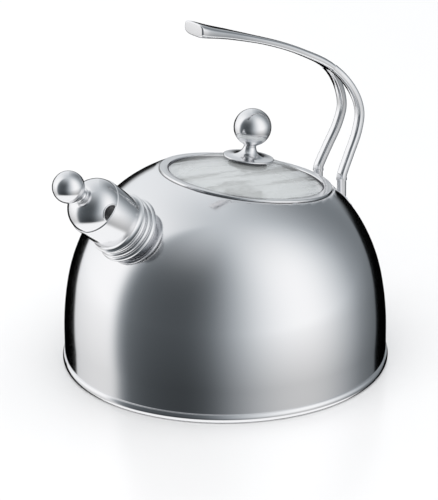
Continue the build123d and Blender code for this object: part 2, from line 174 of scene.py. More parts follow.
class HandleSizes(bpy.types.PropertyGroup):
    """The handle's bar; heights are above the top of its bosses."""

    foot_inset: length("Foot inset", "From the wall's radius in to the foot's axis", 0.0146)
    foot_half_spacing: length("Foot half spacing", "From the middle to each foot", 0.012)
    post_height: length("Post height", "From the dome to the leg", 0.020)
    leg_width: length("Leg width", "Width of each leg", 0.0066)
    leg_thickness: length("Leg thickness", "Thickness of each leg", 0.0054)
    fork_gap: length("Fork gap", "Between the legs where they part", 0.0003)
    tip_width: length("Tip width", "Width of the upright end face", 0.019)
    tip_height: length("Tip height", "Height of the upright end face", 0.0093)
    grip_squareness: FloatProperty(name="Grip squareness", description="2 is round, higher is squarer", default=3.4)
    leg_squareness: FloatProperty(name="Leg squareness", description="2 is round, higher is squarer", default=3.0)
    tip_edge: length("Tip edge", "Rounding of the end face's edge", 0.0012)


class Finishes(bpy.types.PropertyGroup):
    """Colours and polish of each finish."""

    steel: colour("Polished steel", "Clean mirror-polished steel", (0.86, 0.86, 0.87))
    steel_haze: colour("Steel haze", "Steel where the polish has dulled", (0.79, 0.79, 0.80))
    steel_polish: share("Steel roughness", "Roughness of clean polished steel", 0.012)
    satin: colour("Satin steel", "Brushed steel", (0.60, 0.60, 0.61))
    satin_dark: colour("Satin steel, dark", "Bottom of the brush lines", (0.42, 0.42, 0.43))
    aluminium: colour("Aluminium", "Plain aluminium disc", (0.78, 0.78, 0.79))
    glass: colour("Glass", "Clear tempered glass", (0.99, 0.992, 0.992))
    rubber: colour("Silicone", "Matt black silicone", (0.018, 0.018, 0.020))
    rubber_dust: colour("Silicone bloom", "Pale bloom on the silicone", (0.060, 0.060, 0.064))


class StageSizes(bpy.types.PropertyGroup):
    """Camera, floor and light."""

    azimuth: angle("Azimuth", "Camera's turn round the kettle", -39.807)
    elevation: angle("Elevation", "Camera's height above the horizon", 22.177)
    roll: angle("Roll", "Camera's tilt about its own axis", -0.367)
    distance: length("Distance", "Camera to its aim", 2.2)
    aim_height: length("Aim height", "Height of the point aimed at", 0.08)
    aim_right: length("Aim right", "Camera moved to its right", -0.00386)
    aim_up: length("Aim up", "Camera moved up", -0.00265)
    lens: FloatProperty(name="Lens", description="Focal length", default=236.7, unit="CAMERA")
    floor: colour("Floor", "Plain pale floor", (0.90, 0.90, 0.905))
    key_strength: FloatProperty(name="Key strength", description="Strength of the soft light above", default=2.05)
    key_spread: angle("Key spread", "How wide the soft light is", 80)
    fill: share("Fill", "Brightness of the light from all round", 0.46)
    through: FloatProperty(
        name="Light inside", description="Light that reaches the inside through the lid", default=5.5
    )


# ------------------------------------------------------------------ drawing and turning

class Outline:
    """A pen that draws a half-section, radius along X and height along Z."""

    def __init__(self, radius, height):
        self.bm = bmesh.new()
        self.tip = self.first = self.bm.verts.new((radius, 0, height))

    def line(self, *corners):
        for radius, height in corners:
            self.tip = bmesh.ops.extrude_vert_indiv(self.bm, verts=[self.tip])["verts"][0]
            self.tip.co = (radius, 0, height)
        return self

    def arc(self, radius, height, turn, steps=16):
        """Turns the tip about a centre."""
        centre = (radius, 0, height)
        spun = bmesh.ops.spin(
            self.bm, geom=[self.tip], cent=centre, axis=(0, -1, 0), angle=turn, steps=steps
        )
        self.tip = next(v for v in spun["geom_last"] if isinstance(v, bmesh.types.BMVert))
        return self

    def bulge(self, radius, height, rise, steps=12):
        """An arc to a point, swelling by rise away from the axis (or towards it if negative)."""
        start = Vector((self.tip.co.x, self.tip.co.z))
        end = Vector((radius, height))
        half = (end - start).length / 2
        across = Vector((end.y - start.y, start.x - end.x)).normalized()
        curve = (half**2 + rise**2) / (2 * rise)
        centre = (start + end) / 2 + across * (rise - curve)
        turn = 2 * math.asin(half / abs(curve))
        self.arc(centre.x, centre.y, math.copysign(turn, rise), steps)
        self.tip.co = (radius, 0, height)
        return self

    def close(self):
        self.bm.edges.new((self.tip, self.first))
        return self

    def turned(self, steps=144):
        """Spins the section about Z and closes its seam and poles."""
        geom = self.bm.verts[:] + self.bm.edges[:]
        centre = (0, 0, 0)
        bmesh.ops.spin(
            self.bm, geom=geom, cent=centre, axis=(0, 0, 1), angle=FULL_TURN, steps=steps, use_merge=True
        )
        bmesh.ops.remove_doubles(self.bm, verts=self.bm.verts, dist=1e-6)
        bmesh.ops.recalc_face_normals(self.bm, faces=self.bm.faces)
        return self.bm


def new_object(bm, name):
    mesh = bpy.data.meshes.new(name)
    bm.to_mesh(mesh)
    bm.free()
    mesh.shade_smooth()
    piece = bpy.data.objects.new(name, mesh)
    bpy.context.scene.collection.objects.link(piece)
    return piece


def settle(piece, body, nodes, finish, soft_edge=0.0):
    """Gives the piece its finish and edges, and its body in place of the CAD nodes."""
    piece.data.materials.clear()
    piece.data.materials.append(FINISHES[finish]())
    if soft_edge:
        bevel = piece.modifiers.new("Soft edges", "BEVEL")
        bevel.width = soft_edge
        bevel.segments = 3
        bevel.limit_method = "ANGLE"
        bevel.angle_limit = math.radians(38)
        bevel.harden_normals = True
    else:
        piece.data.set_sharp_from_angle(angle=math.radians(38))
    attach(piece, body)
    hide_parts(*nodes)


def carve(piece, cutters):
    """Takes the cutters out of the piece."""
    for cutter in cutters:
        cut = piece.modifiers.new("Cut", "BOOLEAN")
        cut.operation = "DIFFERENCE"
        cut.solver = "EXACT"
        cut.object = cutter
    depsgraph = bpy.context.evaluated_depsgraph_get()
    piece.data = bpy.data.meshes.new_from_object(piece.evaluated_get(depsgraph))
    piece.modifiers.clear()
    for cutter in cutters:
        bpy.data.objects.remove(cutter)


def axis_of(joint):
    return Vector(next(j["axis"] for j in frame["joints"] if j["name"] == joint))


def placing(origin, along):
    """Matrix that stands local Z along a direction in the XZ plane."""
    z = along.normalized()
    y = Vector((0, 1, 0))
    x = y.cross(z)
    return Matrix.Translation(origin) @ Matrix((x, y, z)).transposed().to_4x4()


# ------------------------------------------------------------------ shape shared by the pieces

def dome_arcs(sizes):
    """Centre radius, centre height, radius, first and last angle of each arc of the dome."""
    radius, height = sizes.wall_radius - sizes.barrel_radius, sizes.wall_top
    arcs = [(radius, height, sizes.barrel_radius, 0, sizes.barrel_turn)]
    step = sizes.barrel_radius - sizes.shoulder_radius
    radius += step * math.cos(sizes.barrel_turn)
    height += step * math.sin(sizes.barrel_turn)
    arcs.append((radius, height, sizes.shoulder_radius, sizes.barrel_turn, sizes.shoulder_turn))
    step = sizes.shoulder_radius - sizes.crown_radius
    radius += step * math.cos(sizes.shoulder_turn)
    height += step * math.sin(sizes.shoulder_turn)
    arcs.append((radius, height, sizes.crown_radius, sizes.shoulder_turn, math.pi / 2))
    return arcs


def dome_height(sizes, distance):
    """Height of the dome's outside at a distance from its axis."""
    for radius, height, curve, start, end in reversed(dome_arcs(sizes)):
        if distance <= radius:
            return height + curve
        if distance <= radius + curve * math.cos(start):
            return height + math.sqrt(curve**2 - (distance - radius) ** 2)
    return sizes.wall_top


def seat(sizes):
    """Matrix of the lid's seat, and the seat's radius."""
    back = Vector((sizes.seat_back, 0, dome_height(sizes, -sizes.seat_back)))
    front = Vector((sizes.seat_front, 0, dome_height(sizes, sizes.seat_front)))
    return placing((back + front) / 2, axis_of("lid_lift")), (front - back).length / 2


def spout(body, sizes):
    """Matrix of the spout's axis where it leaves the dome."""
    out = body.wall_radius - sizes.root_inset
    return placing(Vector((-out, 0, dome_height(body, out))), axis_of("whistle_pull"))


def lid_radii(body, lid):
    """Radii of the lid's edge, the mouth, the plug wall and the glass."""
    rim = seat(body)[1] - lid.seat_margin
    mouth = rim - lid.mouth_inset
    plug = mouth - lid.plug_clearance
    return rim, mouth, plug, plug - lid.rim_sheet - lid.glass_gap


def glass_centre(body, lid):
    """Height of the centre that the glass dome is struck from."""
    glass = lid_radii(body, lid)[3]
    return lid.glass_edge - math.sqrt(lid.glass_curve**2 - glass**2)


COLLAR_RIDGES = [(0.0056, 0.0040), (0.0043, 0.0036), (0.0032, 0.0033)]


def cap_levels(sizes):
    """Levels of the cap's lip, its crease, its flat and the stem's top."""
    top = sizes.collar_foot_height + sum(height for out, height in COLLAR_RIDGES)
    lip = top + sizes.cap_gap
    crease = lip + sizes.skirt_length
    flat = crease + sizes.dome_height - sizes.dome_cut
    stem = flat + sizes.stem_height
    return lip, crease, flat, stem


# ------------------------------------------------------------------ body

def body_shell(body, lid):
    """Outer face of the dome and wall, cut to the lid's seat, with the turned-down neck."""
    pen = Outline(body.wall_radius, body.bead_top).line((body.wall_radius, body.wall_top))
    for radius, height, curve, start, end in dome_arcs(body):
        pen.arc(radius, height, end - start, steps=28)
    bm = pen.turned(steps=224)
    place, radius = seat(body)
    normal = place.col[2].xyz
    geom = bm.verts[:] + bm.edges[:] + bm.faces[:]
    bmesh.ops.bisect_plane(
        bm, geom=geom, plane_co=place.translation, plane_no=normal, clear_outer=True, dist=1e-7
    )
    level = place.translation.dot(normal) - 1e-5
    rim = [e for e in bm.edges if e.is_boundary and min(v.co.dot(normal) for v in e.verts) > level]
    (flange, mouth), edge = lid_radii(body, lid)[:2], body.edge
    wide, narrow, deep = flange + body.groove_margin, flange - body.groove_width, -body.groove_depth
    corners = [HALF_TURN / 2 * i / 6 for i in range(7)]
    rings = [(wide, 0.0), (wide, deep), (narrow, deep), (narrow, 0.0), (mouth + 2 * edge, 0.0)]
    rings += [(mouth + edge - edge * math.sin(turn), edge * (math.cos(turn) - 1)) for turn in corners]
    rings.append((mouth, -body.neck_depth))
    loop = rim
    for radius, height in rings:
        ring = bmesh.ops.create_circle(
            bm, segments=224, radius=radius, matrix=place @ Matrix.Translation((0, 0, height))
        )["verts"]
        inner = list({e for v in ring for e in v.link_edges})
        bmesh.ops.bridge_loops(bm, edges=loop + inner)
        loop = inner
    bmesh.ops.recalc_face_normals(bm, faces=bm.faces)
    return bm


def spout_bore(body, sizes):
    """Cutter for the spout's bore through the shell."""
    bm = bmesh.new()
    radius = sizes.tube_radius - body.sheet
    bmesh.ops.create_cone(bm, cap_ends=True, segments=96, radius1=radius, radius2=radius, depth=0.08)
    bmesh.ops.transform(bm, matrix=spout(body, sizes), verts=bm.verts)
    return new_object(bm, "spout_bore")


def base_pan(body):
    """Kettle floor with its rolled bead; a fine groove marks where the bead closes on the wall."""
    inner = body.wall_radius - body.bead_width
    floor_top = body.floor_bottom + body.sheet
    pen = Outline(0, floor_top).line(
        (inner, floor_top), (inner, body.bead_top), (body.wall_radius, body.bead_top),
        (body.wall_radius + body.seam, body.bead_top - body.seam / 2),
    )
    turn_out = body.wall_radius + body.bead_proud * 0.55
    pen.bulge(turn_out, body.bead_top - body.bead_corner, 0.0002, steps=4)
    pen.bulge(turn_out, body.bead_bottom + body.bead_corner, -body.bead_proud * 0.45, steps=16)
    pen.bulge(body.wall_radius - 0.0004, body.bead_bottom, -0.0003, steps=4)
    pen.line((inner, body.bead_bottom), (inner, body.floor_bottom), (0, body.floor_bottom)).close()
    return pen.turned(steps=256)


# ------------------------------------------------------------------ spout

def spout_collar(sizes):
    """Stepped ring, each step a rounded ridge with a fine groove above it."""
    below = -sizes.root_depth
    low = sizes.collar_foot_height
    foot = sizes.tube_radius + sizes.collar_neck
    pen = Outline(sizes.tube_radius, below).line((foot, below), (foot, low))
    groove = sizes.ridge_groove
    for out, height in COLLAR_RIDGES:
        edge = sizes.tube_radius + out - sizes.ridge_bulge
        pen.line((edge - groove, low), (edge, low + groove / 3))
        pen.bulge(edge, low + height - groove / 3, sizes.ridge_bulge, steps=14)
        low += height
        pen.line((edge - groove, low))
    pen.line((sizes.tube_radius, low)).close()
    return pen.turned(steps=160)


def whistle_cap(body, sizes):
    """Skirt with a flared lip, and a dome with a small flat, drawn outside and then inside."""
    lip, crease, flat = cap_levels(sizes)[:3]
    side, dome = sizes.cap_radius, sizes.cap_radius - sizes.crease_step
    sheet = body.sheet
    pen = Outline(side + sizes.lip_width - sheet, lip)
    pen.line((side + sizes.lip_width - 0.0002, lip))
    pen.bulge(side + sizes.lip_width, lip + sizes.lip_height, 0.0002, steps=5)
    pen.bulge(side, lip + sizes.lip_height + sizes.lip_flare, -sizes.flare_bulge, steps=10)
    pen.line((side, crease - sizes.crease_chamfer))
    pen.bulge(dome, crease, 0.0001, steps=5)
    dome_curve(pen, dome, crease, sizes.dome_height, flat)
    pen.line((sizes.screw_bore, flat), (sizes.screw_bore, flat - sheet))
    reach = dome_reach(dome - sheet, sizes.dome_height - sheet, flat - sheet - crease)
    pen.line((reach, flat - sheet))
    dome_curve(pen, dome - sheet, crease, sizes.dome_height - sheet, flat - sheet, downwards=True)
    pen.line((side - sheet, crease - sizes.crease_chamfer))
    pen.line((side - sheet, lip + sizes.lip_height + sizes.lip_flare)).close()
    return pen.turned(steps=160)


def dome_reach(radius, height, level):
    return radius * math.sqrt(1 - (level / height) ** 2)


def dome_curve(pen, radius, crease, height, flat, downwards=False, steps=26):
    """The cap's dome as a quarter of an ellipse, up to the flat or down from it."""
    last = math.asin((flat - crease) / height)
    turns = [last * i / steps for i in range(steps + 1)]
    for turn in reversed(turns) if downwards else turns:
        point = (radius * math.cos(turn), crease + height * math.sin(turn))
        if (Vector(point) - Vector((pen.tip.co.x, pen.tip.co.z))).length > 1e-6:
            pen.line(point)


def port_cutter(body, sizes):
    """Half-round bar across the cap's dome that opens both steam ports."""
    bm = bmesh.new()
    depth = 3 * sizes.cap_radius
    radius = sizes.port_radius
    bmesh.ops.create_cone(bm, cap_ends=True, segments=72, radius1=radius, radius2=radius, depth=depth)
    bmesh.ops.rotate(bm, matrix=Matrix.Rotation(math.pi / 2, 3, "X"), verts=bm.verts)
    geom = bm.verts[:] + bm.edges[:] + bm.faces[:]
    origin = (0, 0, 0)
    bmesh.ops.bisect_plane(bm, geom=geom, plane_co=origin, plane_no=(0, 0, -1), clear_outer=True)
    bmesh.ops.holes_fill(bm, edges=[e for e in bm.edges if e.is_boundary])
    crease = cap_levels(sizes)[1]
    bmesh.ops.translate(bm, vec=(0, 0, crease + sizes.port_lift), verts=bm.verts)
    bmesh.ops.transform(bm, matrix=spout(body, sizes), verts=bm.verts)
    bmesh.ops.recalc_face_normals(bm, faces=bm.faces)
    return new_object(bm, "port_cutter")


def port_rims(sizes):
    """Rolled edge round each half-round port, following the cap's dome."""
    bm = bmesh.new()
    crease = cap_levels(sizes)[1]
    radius, wide, steps = sizes.port_radius, sizes.cap_radius - sizes.crease_step, 40
    flat = [(-radius + 2 * radius * i / steps, 0) for i in range(steps)]
    turns = [HALF_TURN * i / steps for i in range(steps)]
    arch = [(radius * math.cos(turn), radius * math.sin(turn)) for turn in turns]
    path = []
    for across, height in flat + arch:
        height += sizes.port_lift
        out = wide * math.sqrt(1 - (height / sizes.dome_height) ** 2)
        path.append(Vector((across, math.sqrt(out**2 - across**2), crease + height)))
    rings = []
    for i, point in enumerate(path):
        turn = (path[(i + 1) % len(path)] - path[i - 1]).to_track_quat("Z", "Y").to_matrix().to_4x4()
        place = Matrix.Translation(point) @ turn
        ring = bmesh.ops.create_circle(bm, segments=12, radius=sizes.port_edge, matrix=place)["verts"]
        rings.append(list({edge for vert in ring for edge in vert.link_edges}))
    for i, ring in enumerate(rings):
        bmesh.ops.bridge_loops(bm, edges=rings[i - 1] + ring)
    bmesh.ops.mirror(bm, geom=bm.verts[:] + bm.edges[:] + bm.faces[:], axis="Y", merge_dist=-1)
    bmesh.ops.recalc_face_normals(bm, faces=bm.faces)
    return bm


def whistle_stem(sizes):
    """Turned spacer under the cap's ball: a foot ring, a waist and a ring line under the ball."""
    flat, stem = cap_levels(sizes)[2:]
    ring, inset = sizes.ring_height, sizes.ring_inset
    pen = Outline(sizes.screw_bore, flat).line((sizes.stem_foot, flat))
    pen.bulge(sizes.stem_foot - inset, flat + ring, 0.0002, steps=5)
    pen.line((sizes.stem_neck + 0.0006, flat + ring))
    pen.bulge(sizes.stem_head - inset, stem - ring, -inset, steps=8)
    pen.bulge(sizes.stem_head, stem, 0.0002, steps=5)
    pen.line((sizes.screw_bore, stem)).close()
    return pen.turned(steps=96)


def ball(radius, flat_radius, level):
    """Sphere that stands on a small flat at the level given."""
    sunk = math.sqrt(radius**2 - flat_radius**2)
    centre = level + sunk
    pen = Outline(0, level).line((flat_radius, level))
    start = math.atan2(-sunk, flat_radius)
    pen.arc(0, centre, math.pi / 2 - start, steps=72)
    return pen.turned(steps=128)


# ------------------------------------------------------------------ handle

# The centre line from the legs' end: distance out and height above the top of the boss.
LEG_LINE = [
    (-0.0020, 0.0774), (0.0118, 0.0613), (0.0184, 0.0438), (0.0156, 0.0298), (0.0074, 0.0148),
    (0.0017, 0.0046), (0.0, 0.0),
]
GRIP_LINE = [(-0.1192, 0.1289), (-0.0896, 0.1188), (-0.0517, 0.1045), (-0.0258, 0.0922), (-0.0020, 0.0774)]
TIP_SLOPE, FORK_SLOPE, FOOT_SLOPE = (0.93, -0.36), (0.76, -0.65), (0.0, -1.0)
# Share of the grip's length from its tip, width and thickness.
GRIP_BARS = [
    (0.04, 0.0196, 0.0086), (0.14, 0.0170, 0.0069), (0.24, 0.0138, 0.0060), (0.34, 0.0110, 0.0053),
    (0.45, 0.0092, 0.0047), (0.56, 0.0086, 0.0047), (0.67, 0.0086, 0.0048), (0.79, 0.0094, 0.0050),
    (0.90, 0.0115, 0.0053),
]
# Share of each leg's length from the fork, and share of the spreading done.
LEG_SPREAD = [(0.0, 0.0), (0.08, 0.12), (0.2, 0.34), (0.35, 0.54), (0.5, 0.67), (0.75, 0.85), (1.0, 1.0)]


def smooth_line(points, start_slope=None, end_slope=None, steps=16):
    """Points along one smooth curve through those given."""
    points = [Vector(point) for point in points]
    last = len(points) - 1
    slopes = [(points[min(i + 1, last)] - points[max(i - 1, 0)]).normalized() for i in range(last + 1)]
    if start_slope:
        slopes[0], slopes[last] = Vector(start_slope).normalized(), Vector(end_slope).normalized()
    line = []
    for i in range(last):
        reach = (points[i + 1] - points[i]).length / 3
        pull, push = points[i] + slopes[i] * reach, points[i + 1] - slopes[i + 1] * reach
        line += interpolate_bezier(points[i], pull, push, points[i + 1], steps)[: steps - 1]
    return [*line, points[last]]


def along(line, share):
    """Point and direction at a share of a line's length."""
    lengths = [(b - a).length for a, b in zip(line, line[1:])]
    left = share * sum(lengths)
    for a, b, run in zip(line, line[1:], lengths):
        if left <= run or b is line[-1]:
            return a.lerp(b, left / run), (b - a).normalized()
        left -= run


def value_at(track, share):
    """Height of a smooth track of (share, value) points at a share."""
    for a, b in zip(track, track[1:]):
        if share <= b[0]:
            return a[1] + (b[1] - a[1]) * (share - a[0]) / (b[0] - a[0])
    return track[-1][1]


def section(bm, centre, direction, width, thickness, squareness, segments=56):
    """Ring of a crowned bar, square to a direction in the XZ plane; returns its edges."""
    side = Vector((0, 1, 0))
    up = direction.cross(side)
    ring = bmesh.ops.create_circle(bm, segments=segments, radius=1)["verts"]
    for vert in ring:
        x, z = (math.copysign(abs(value) ** (2 / squareness), value) for value in vert.co.xy)
        vert.co = centre + side * (x * width / 2) + up * (z * thickness / 2)
    return list({edge for vert in ring for edge in vert.link_edges})


def joined(bm, rings):
    """Skins the rings one after another and closes both ends."""
    for first, second in zip(rings, rings[1:]):
        bmesh.ops.bridge_loops(bm, edges=first + second)
    bmesh.ops.edgeloop_fill(bm, edges=rings[0])
    bmesh.ops.edgeloop_fill(bm, edges=rings[-1])


def handle_line(body, sizes, points, start_slope, end_slope):
    """Centre line of a bar, from points given out from and above the boss."""
    out = body.wall_radius - sizes.foot_inset
    top = dome_height(body, math.hypot(out, sizes.foot_half_spacing)) + sizes.post_height
    flat = smooth_line(points, start_slope, end_slope)
    return [Vector((out + point.x, 0, top + point.y)) for point in flat]


def grip(bm, body, sizes):
    """Paddle-ended grip, from its upright end face to the fork."""
    line = handle_line(body, sizes, GRIP_LINE, TIP_SLOPE, FORK_SLOPE)
    bars = [(0.0, sizes.tip_width, sizes.tip_height), *GRIP_BARS]
    bars.append((1.0, 2 * sizes.leg_width + sizes.fork_gap, sizes.leg_thickness))
    widths = smooth_line([(share * 0.1, width) for share, width, thickness in bars])
    thicknesses = smooth_line([(share * 0.1, thickness) for share, width, thickness in bars])
    upright = Vector((1, 0, 0))
    rings = []
    for i in range(73):
        share = i / 72
        centre, direction = along(line, share)
        direction = upright.lerp(direction, min(1.0, share / GRIP_BARS[0][0])).normalized()
        width, thickness = value_at(widths, share * 0.1), value_at(thicknesses, share * 0.1)
        squareness = sizes.grip_squareness + (sizes.leg_squareness - sizes.grip_squareness) * share
        rings.append(section(bm, centre, direction, width, thickness, squareness))
    joined(bm, rings)
    bmesh.ops.bevel(
        bm, geom=rings[0], offset=sizes.tip_edge, segments=6, profile=0.5, affect="EDGES", material=-1
    )


def leg(bm, body, sizes):
    """Leg on the +Y side, from inside the grip's end to its foot."""
    line = handle_line(body, sizes, LEG_LINE, FORK_SLOPE, FOOT_SLOPE)
    spreads = smooth_line(LEG_SPREAD)
    near = (sizes.leg_width + sizes.fork_gap) / 2
    rings = []
    for i in range(65):
        share = i / 64
        centre, direction = along(line, share)
        centre.y = near + (sizes.foot_half_spacing - near) * value_at(spreads, share)
        rings.append(section(bm, centre, direction, sizes.leg_width, sizes.leg_thickness, sizes.leg_squareness))
    joined(bm, rings)


def handle(body, sizes):
    """One polished bar: a grip that forks into two legs."""
    bm = bmesh.new()
    leg(bm, body, sizes)
    geom = bm.verts[:] + bm.edges[:] + bm.faces[:]
    bmesh.ops.mirror(bm, geom=geom, axis="Y", merge_dist=-1)
    grip(bm, body, sizes)
    bmesh.ops.recalc_face_normals(bm, faces=bm.faces)
    return bm


# ------------------------------------------------------------------ lid

def lid_rim(body, lid):
    """Steel rim: top flange with a turned-down edge, and the plug wall that holds the glass."""
    rim, _, plug, glass = lid_radii(body, lid)
    sheet, top = lid.rim_sheet, lid.rim_top
    under = top - sheet
    inner = rim - lid.rim_flange
    lip = glass + lid.glass_gap - lid.gasket_width
    pen = Outline(rim - sheet, lid.rim_lift).line((rim, lid.rim_lift), (rim, top - lid.edge_height))
    pen.bulge(rim - lid.edge_width, top, lid.edge_bulge, steps=8)
    pen.bulge(inner + 0.0004, top - 0.0001, 0.00008, steps=8)
    pen.line((inner, under), (plug - sheet, under), (plug - sheet, sheet - lid.plug_depth))
    pen.line((lip, sheet - lid.plug_depth), (lip, -lid.plug_depth), (plug, -lid.plug_depth))
    pen.line((plug, under), (rim - sheet, under)).close()
    return pen.turned(steps=224)


def lid_glass(body, lid):
    """Domed glass with a hole for the knob's screw and a ground edge."""
    glass = lid_radii(body, lid)[3]
    centre = glass_centre(body, lid)
    outer, inner, hole = lid.glass_curve, lid.glass_curve - lid.glass_sheet, lid.hole_radius
    outer_rise = centre + math.sqrt(outer**2 - hole**2)
    turn = math.acos(hole / outer) - math.acos(glass / outer)
    pen = Outline(hole, outer_rise).arc(0, centre, -turn, steps=48)
    pen.line((glass, centre + math.sqrt(inner**2 - glass**2)))
    turn = math.acos(hole / inner) - math.acos(glass / inner)
    pen.arc(0, centre, turn, steps=48).close()
    return pen.turned(steps=192)


def knob_base(body, lid):
    """Trumpet foot on its thin flange, with the small flare that meets the ball."""
    flange = glass_centre(body, lid) + lid.glass_curve + lid.flange_lift
    top = flange + lid.flange_sheet
    seat_level = flange + lid.ball_rise - math.sqrt(lid.ball_radius**2 - lid.ball_seat**2)
    pen = Outline(lid.screw_radius, flange).line((lid.flange_radius, flange))
    pen.bulge(lid.flange_radius - 0.0007, top - 0.0002, lid.edge_bulge, steps=6)
    pen.line((lid.flare_radius, top))
    pen.bulge(lid.neck_radius, seat_level - lid.neck_drop, -lid.trumpet_bulge, steps=24)
    pen.bulge(lid.ball_seat, seat_level, -0.0002, steps=6)
    pen.line((lid.screw_radius, seat_level)).close()
    return pen.turned(steps=128), seat_level


# ------------------------------------------------------------------ finishes

class Graph:
    """Adds nodes to a tree; each input is a value or another node's output."""

    def __init__(self, tree):
        self.tree = tree

    def add(self, kind, inputs=(), **settings):
        node = self.tree.nodes.new("ShaderNode" + kind)
        for name, value in settings.items():
            setattr(node, name, value)
        for name, value in dict(inputs).items():
            if isinstance(value, bpy.types.NodeSocket):
                self.tree.links.new(value, node.inputs[name])
            else:
                node.inputs[name].default_value = value
        return node

    def math(self, operation, *values):
        return self.add("Math", dict(enumerate(values)), operation=operation).outputs[0]

    def range(self, value, low, high, to_low=0.0, to_high=1.0, ease="SMOOTHSTEP"):
        inputs = {"Value": value, "From Min": low, "From Max": high, "To Min": to_low, "To Max": to_high}
        return self.add("MapRange", inputs, interpolation_type=ease).outputs[0]

    def mix(self, factor, first, second, blend="MIX"):
        return self.add("Mix", {0: factor, 6: first, 7: second}, data_type="RGBA", blend_type=blend).outputs[2]

    def noise(self, vector, scale, detail=3.0):
        inputs = {"Vector": vector, "Scale": scale, "Detail": detail}
        return self.add("TexNoise", inputs).outputs["Fac"]


def rgba(values):
    return (*values, 1.0)


def new_group(name, inputs, outputs):
    """An empty node group with its sockets, and its input and output nodes."""
    tree = bpy.data.node_groups.new(name, "ShaderNodeTree")
    for label, kind, value in inputs:
        socket = tree.interface.new_socket(label, in_out="INPUT", socket_type="NodeSocket" + kind)
        socket.default_value = value
    for label, kind in outputs:
        tree.interface.new_socket(label, in_out="OUTPUT", socket_type="NodeSocket" + kind)
    graph = Graph(tree)
    given, out = tree.nodes.new("NodeGroupInput"), tree.nodes.new("NodeGroupOutput")
    return graph, given.outputs, out.inputs


def polish_group():
    """Mirror polish: wide dull patches, fine wipe marks and a very slight wave in the sheet."""
    name = "Polish"
    if name in bpy.data.node_groups:
        return bpy.data.node_groups[name]
    grey = (0.8, 0.8, 0.8, 1.0)
    inputs = [
        ("Clean", "Color", grey), ("Haze", "Color", grey), ("Roughness", "Float", 0.03),
        ("Patch scale", "Float", 14.0), ("Wipe scale", "Float", 260.0),
    ]
    outputs = [("Color", "Color"), ("Roughness", "Float"), ("Height", "Float")]
    graph, given, out = new_group(name, inputs, outputs)
    place = graph.add("TexCoord").outputs["Object"]
    patches = graph.range(graph.noise(place, given["Patch scale"], 4.0), 0.42, 0.75)
    stretched = graph.add("Mapping", {"Vector": place, "Scale": (1.0, 1.0, 0.12)}).outputs[0]
    wipes = graph.range(graph.noise(stretched, given["Wipe scale"], 2.0), 0.5, 0.8)
    dull = graph.math("ADD", graph.math("MULTIPLY", patches, 0.6), graph.math("MULTIPLY", wipes, 0.4))
    links = graph.tree.links
    links.new(graph.mix(graph.math("MULTIPLY", dull, 0.5), given["Clean"], given["Haze"]), out["Color"])
    added = graph.math("MULTIPLY", dull, 0.022)
    links.new(graph.math("ADD", given["Roughness"], added), out["Roughness"])
    links.new(graph.noise(place, 22.0, 1.0), out["Height"])
    return graph.tree


def turning_group():
    """Fine rings left by turning or spinning about the piece's upright axis."""
    name = "Turning marks"
    if name in bpy.data.node_groups:
        return bpy.data.node_groups[name]
    grey = (0.6, 0.6, 0.6, 1.0)
    inputs = [("High", "Color", grey), ("Low", "Color", grey), ("Roughness", "Float", 0.3), ("Pitch", "Float", 900.0)]
    outputs = [("Color", "Color"), ("Roughness", "Float"), ("Height", "Float")]
    graph, given, out = new_group(name, inputs, outputs)
    place = graph.add("TexCoord").outputs["Object"]
    split = graph.add("SeparateXYZ", {0: place}).outputs
    squares = graph.math("ADD", graph.math("POWER", split[0], 2.0), graph.math("POWER", split[1], 2.0))
    ring = graph.math("SQRT", squares)
    along = graph.add("CombineXYZ", {0: ring, 1: 0.0, 2: split[2]}).outputs[0]
    lines = graph.noise(along, given["Pitch"], 2.0)
    stains = graph.range(graph.noise(place, 40.0, 5.0), 0.35, 0.75)
    links = graph.tree.links
    tone = graph.math("MULTIPLY", graph.math("ADD", lines, graph.math("MULTIPLY", stains, 0.5)), 0.7)
    links.new(graph.mix(tone, given["High"], given["Low"]), out["Color"])
    links.new(graph.math("ADD", given["Roughness"], graph.math("MULTIPLY", tone, 0.12)), out["Roughness"])
    links.new(lines, out["Height"])
    return graph.tree


def finish(name, group, inputs, bump, bump_distance, **shader):
    """A material whose Principled shader takes colour, roughness and bump from a group."""
    if name in bpy.data.materials:
        return bpy.data.materials[name]
    material = bpy.data.materials.new(name)
    material.use_nodes = True
    graph = Graph(material.node_tree)
    principled = material.node_tree.nodes["Principled BSDF"]
    marks = material.node_tree.nodes.new("ShaderNodeGroup")
    marks.node_tree = group
    for label, value in inputs.items():
        marks.inputs[label].default_value = value
    for label, value in shader.items():
        principled.inputs[label.replace("_", " ").capitalize()].default_value = value
    links = material.node_tree.links
    links.new(marks.outputs["Color"], principled.inputs["Base Color"])
    links.new(marks.outputs["Roughness"], principled.inputs["Roughness"])
    height = {"Height": marks.outputs["Height"], "Strength": bump, "Distance": bump_distance}
    links.new(graph.add("Bump", height).outputs[0], principled.inputs["Normal"])
    return material


def polished_steel():
    looks = bpy.context.scene.kettle_finishes
    inputs = {"Clean": rgba(looks.steel), "Haze": rgba(looks.steel_haze), "Roughness": looks.steel_polish}
    return finish("polished_steel", polish_group(), inputs, 0.12, 0.0002, metallic=1.0)


def satin_steel():
    looks = bpy.context.scene.kettle_finishes
    inputs = {"High": rgba(looks.satin), "Low": rgba(looks.satin_dark), "Roughness": 0.26, "Pitch": 1400.0}
    return finish("satin_steel", turning_group(), inputs, 0.25, 0.00005, metallic=1.0)


def aluminium():
    looks = bpy.context.scene.kettle_finishes
    tone = rgba(looks.aluminium)
    low = rgba([value * 0.8 for value in looks.aluminium])
    inputs = {"High": tone, "Low": low, "Roughness": 0.38, "Pitch": 700.0}
    return finish("aluminium", turning_group(), inputs, 0.3, 0.00008, metallic=1.0)


